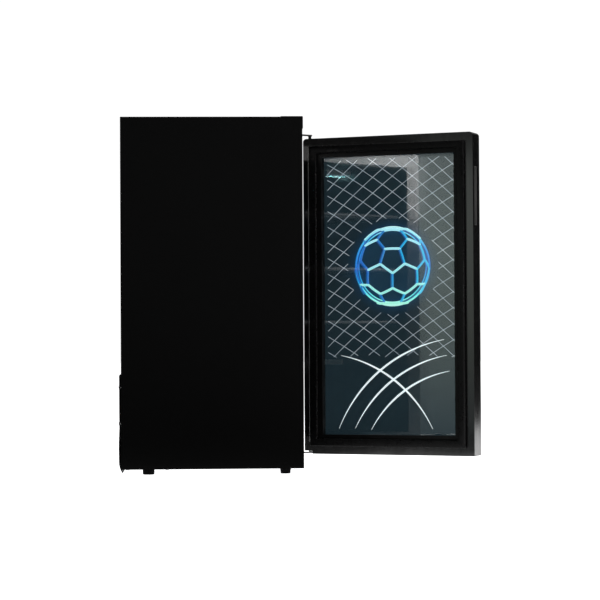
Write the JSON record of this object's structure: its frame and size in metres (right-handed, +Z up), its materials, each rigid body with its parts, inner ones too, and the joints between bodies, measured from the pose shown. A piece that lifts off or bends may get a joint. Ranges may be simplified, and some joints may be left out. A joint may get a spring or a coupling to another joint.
{
  "type": "mini fridge",
  "caption": "Upright drinks cooler with an insulated cabinet, wire shelves and an edge-lit glass door with a ball sign, modelled with its door ajar.",
  "frame": {"origin": "on the floor, under the middle of the footprint that the cabinet and the open door take together", "axes": "+Z up, the cabinet front faces -Y, +X is the hinge side (the user's right when facing the front)"},
  "size_m": [0.474, 0.8934, 0.8412],
  "materials": {
    "coated_sheet": "satin black powder coat, fine orange peel",
    "black_plastic": "fine-grained moulded black",
    "gloss_black": "polished black extrusion",
    "flange_coat": "satin black",
    "galvanised": "galvanised, spangled",
    "liner_plastic": "vacuum-formed, soft sheen",
    "insulation": "cut polyurethane foam",
    "bare_aluminium": "rolled",
    "copper": "drawn copper tube",
    "compressor_enamel": "gloss black enamel",
    "rubber": "matt moulded rubber",
    "zinc_steel": "bright zinc plate",
    "dark_steel": "black electrocoat",
    "shelf_wire": "plated wire",
    "tinted_glass": "tinted toughened glass with a black printed border",
    "clear_glass": "clear toughened glass",
    "graphic_acrylic": "translucent panel with engraved light lines",
    "spacer_bar": "dark anodised",
    "gasket_vinyl": "soft black vinyl",
    "magnet_strip": "ferrite-filled strip",
    "neon_tube": "lit cyan light guide",
    "white_plastic": "moulded white",
    "lamp_lens": "frosted",
    "circuit_board": "white solder mask"
  },
  "bodies": {
    "cabinet": {"left_side_panel": "coated_sheet", "right_side_panel": "coated_sheet", "top_panel": "coated_sheet", "top_front_trim": "black_plastic", "front_top_rail": "flange_coat", "front_bottom_rail": "flange_coat", "bottom_panel": "galvanised", "back_panel": "coated_sheet", "bay_wall": "galvanised", "inner_liner": "liner_plastic", "foam_sides": "insulation", "foam_top": "insulation", "foam_back": "insulation", "foam_floor": "insulation", "foam_step": "insulation", "evaporator_plate": "bare_aluminium", "refrigerant_tubes": "copper", "filter_drier": "copper", "condenser_coil": "dark_steel", "compressor": "compressor_enamel", "relay_box": "black_plastic", "compressor_grommets": "rubber", "compressor_bolts": "zinc_steel", "compressor_deck": "galvanised", "drip_tray": "black_plastic", "drain_tube": "black_plastic", "rear_cover": "black_plastic", "case_screws": "zinc_steel", "cord_gland": "rubber", "control_box": "liner_plastic", "lamp_housing": "white_plastic", "lamp_board": "circuit_board", "lamp_diffuser": "lamp_lens", "rear_feet": "black_plastic", "hinge_plate_upper": "dark_steel", "hinge_bracket_lower": "dark_steel", "hinge_pins": "dark_steel", "hinge_screws": "zinc_steel"},
    "door": {"door_top_cap": "gloss_black", "door_bottom_cap": "gloss_black", "hinge_stile": "gloss_black", "handle_stile": "gloss_black", "handle_insert": "black_plastic", "outer_glass": "tinted_glass", "graphic_panel": "graphic_acrylic", "glass_spacer": "spacer_bar", "inner_glass": "clear_glass", "inner_frame": "gloss_black", "door_gasket": "gasket_vinyl", "gasket_magnets": "magnet_strip", "neon_ball": "neon_tube", "led_driver": "white_plastic", "hinge_bushes": "white_plastic"},
    "thermostat_knob": {"thermostat_knob": "black_plastic"},
    "lamp_switch": {"lamp_switch": "black_plastic"},
    "shelf_lower": {"shelf_lower": "shelf_wire"},
    "shelf_middle": {"shelf_middle": "shelf_wire"},
    "shelf_upper": {"shelf_upper": "shelf_wire"},
    "front_foot_left": {"front_foot_left": "black_plastic"},
    "front_foot_right": {"front_foot_right": "black_plastic"}
  },
  "joints": [
    {"name": "door_hinge", "type": "hinge", "parent": "cabinet", "child": "door", "pos_m": [0.21005, -0.03017, 0.426], "axis": [0, 0, 1], "range_deg": [-64.4, 53]},
    {"name": "shelf_lower_slide", "type": "slide", "parent": "cabinet", "child": "shelf_lower", "axis": [0, -1, 0], "range_m": [0, 0.045]},
    {"name": "shelf_middle_slide", "type": "slide", "parent": "cabinet", "child": "shelf_middle", "axis": [0, -1, 0], "range_m": [0, 0.045]},
    {"name": "shelf_upper_slide", "type": "slide", "parent": "cabinet", "child": "shelf_upper", "axis": [0, -1, 0], "range_m": [0, 0.045]},
    {"name": "thermostat_turn", "type": "hinge", "parent": "cabinet", "child": "thermostat_knob", "pos_m": [0.11905, 0.03583, 0.756], "axis": [0, -1, 0], "range_deg": [-135, 135]},
    {"name": "lamp_rocker", "type": "hinge", "parent": "cabinet", "child": "lamp_switch", "pos_m": [0.08105, 0.05583, 0.756], "axis": [1, 0, 0], "range_deg": [-8, 8]},
    {"name": "foot_left_screw", "type": "hinge", "parent": "cabinet", "child": "front_foot_left", "pos_m": [-0.19895, 0.05233, 0], "axis": [0, 0, 1], "range_deg": [-180, 180]},
    {"name": "foot_right_screw", "type": "hinge", "parent": "cabinet", "child": "front_foot_right", "pos_m": [0.18105, 0.05233, 0], "axis": [0, 0, 1], "range_deg": [-180, 180]}
  ]
}
